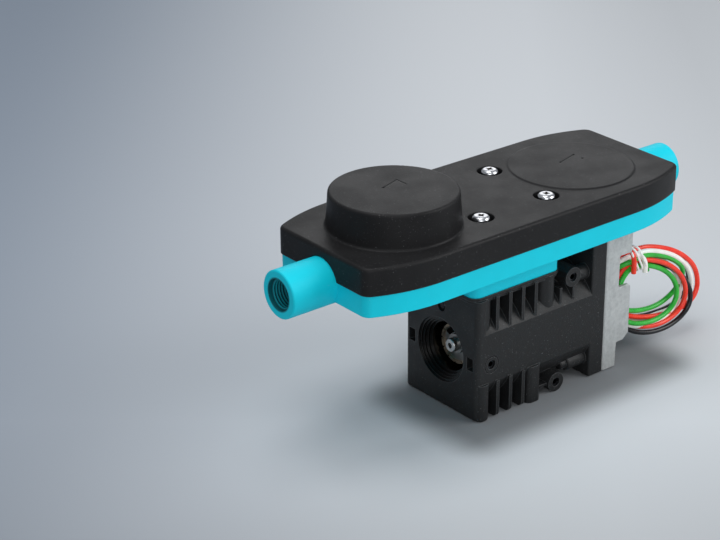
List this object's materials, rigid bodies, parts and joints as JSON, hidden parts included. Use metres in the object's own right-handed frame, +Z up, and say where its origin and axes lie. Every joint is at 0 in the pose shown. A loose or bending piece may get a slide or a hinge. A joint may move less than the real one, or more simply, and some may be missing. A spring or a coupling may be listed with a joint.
{
  "type": "diaphragm metering pump",
  "caption": "Diaphragm metering pump: long black and turquoise head with a damper dome and threaded ports, on a ribbed motor housing with a steel end bracket and looped leads.",
  "frame": {"origin": "in the base plane, under the centre of the head", "axes": "+X along the head and the motor's axis, from the inlet port to the outlet port; +Z up"},
  "size_m": [0.2219, 0.0706, 0.1051],
  "materials": {
    "black_plastic": "finely textured black glass-filled polymer",
    "turquoise_plastic": "satin turquoise polymer",
    "zinc_plated_screw": "bright zinc-plated steel",
    "galvanised_sheet": "rolled galvanised sheet, satin",
    "black_elastomer": "matt EPDM rubber",
    "light_polymer": "natural moulded polymer",
    "turned_brass": "turned and knurled brass",
    "bright_steel": "ground steel",
    "nickelled_weight": "turned brass with a bright rim",
    "cast_aluminium": "die-cast aluminium",
    "bearing_steel": "polished bearing steel",
    "magnet": "coated sintered magnet",
    "laminated_steel": "stacked electrical sheet",
    "enamelled_copper": "enamelled copper wire",
    "green_laminate": "solder-masked laminate",
    "black_component": "moulded component bodies",
    "white_nylon": "natural nylon",
    "red_insulation": "red wire insulation",
    "white_insulation": "white wire insulation",
    "green_insulation": "green wire insulation",
    "black_insulation": "black wire insulation"
  },
  "bodies": {
    "pump_body": {"head_cover": "black_plastic", "head_screws": "zinc_plated_screw", "connection_plate": "turquoise_plastic", "valve_block": "turquoise_plastic", "channel_seals": "black_elastomer", "inlet_damper_membrane": "black_elastomer", "outlet_damper_membrane": "black_elastomer", "drive_housing": "black_plastic", "lock_screw": "zinc_plated_screw", "side_inserts": "turned_brass", "base_inserts": "turned_brass", "end_bracket": "galvanised_sheet", "bracket_screws": "zinc_plated_screw", "circuit_board": "green_laminate", "board_spacers": "zinc_plated_screw", "board_components": "black_component", "lead_connector": "white_nylon", "lead_black": "black_insulation", "lead_green": "green_insulation", "lead_white": "white_insulation", "lead_red": "red_insulation", "lead_hank": "black_insulation", "lead_tie": "white_nylon", "front_bearing_outer": "bearing_steel", "front_bearing_balls": "bearing_steel", "rear_bearing_outer": "bearing_steel", "rear_bearing_balls": "bearing_steel", "stator_core": "laminated_steel", "stator_windings": "enamelled_copper", "motor_end_shield": "cast_aluminium"},
    "drive": {"motor_shaft": "bright_steel", "eccentric": "bright_steel", "counterweight": "nickelled_weight", "rotor_hub": "bright_steel", "rotor_magnet": "magnet", "rod_bearing_inner": "bearing_steel", "front_bearing_inner": "bearing_steel", "rear_bearing_inner": "bearing_steel"},
    "rod": {"connecting_rod": "cast_aluminium", "rod_bearing_outer": "bearing_steel", "rod_bearing_balls": "bearing_steel", "diaphragm_insert": "bright_steel", "working_diaphragm": "black_elastomer"},
    "inlet_valve": {"inlet_valve_disc": "black_elastomer"},
    "outlet_valve": {"outlet_valve_disc": "black_elastomer"},
    "inlet_damper": {"inlet_damper_disc": "light_polymer"},
    "outlet_damper": {"outlet_damper_disc": "light_polymer"}
  },
  "joints": [
    {"name": "drive_spin", "type": "hinge", "parent": "pump_body", "child": "drive", "pos_m": [0, 0, 0.026], "axis": [1, 0, 0], "continuous": true},
    {"name": "rod_orbit", "type": "hinge", "parent": "drive", "child": "rod", "pos_m": [0, 0, 0.027], "axis": [1, 0, 0], "continuous": true, "deforming": ["working_diaphragm"]},
    {"name": "inlet_valve_lift", "type": "slide", "parent": "pump_body", "child": "inlet_valve", "axis": [0, 0, -1], "range_m": [0, 0.0007], "stiffness_N_per_m": 200},
    {"name": "outlet_valve_lift", "type": "slide", "parent": "pump_body", "child": "outlet_valve", "axis": [0, 0, 1], "range_m": [0, 0.0007], "stiffness_N_per_m": 200},
    {"name": "inlet_damper_flex", "type": "slide", "parent": "pump_body", "child": "inlet_damper", "axis": [0, 0, 1], "range_m": [-0.0008, 0.0008], "stiffness_N_per_m": 2000, "deforming": ["inlet_damper_membrane"]},
    {"name": "outlet_damper_flex", "type": "slide", "parent": "pump_body", "child": "outlet_damper", "axis": [0, 0, 1], "range_m": [-0.0008, 0.0008], "stiffness_N_per_m": 2000, "deforming": ["outlet_damper_membrane"]}
  ],
  "couplings": [
    {"joint": "rod_orbit", "follows": "drive_spin", "ratio": -1}
  ]
}
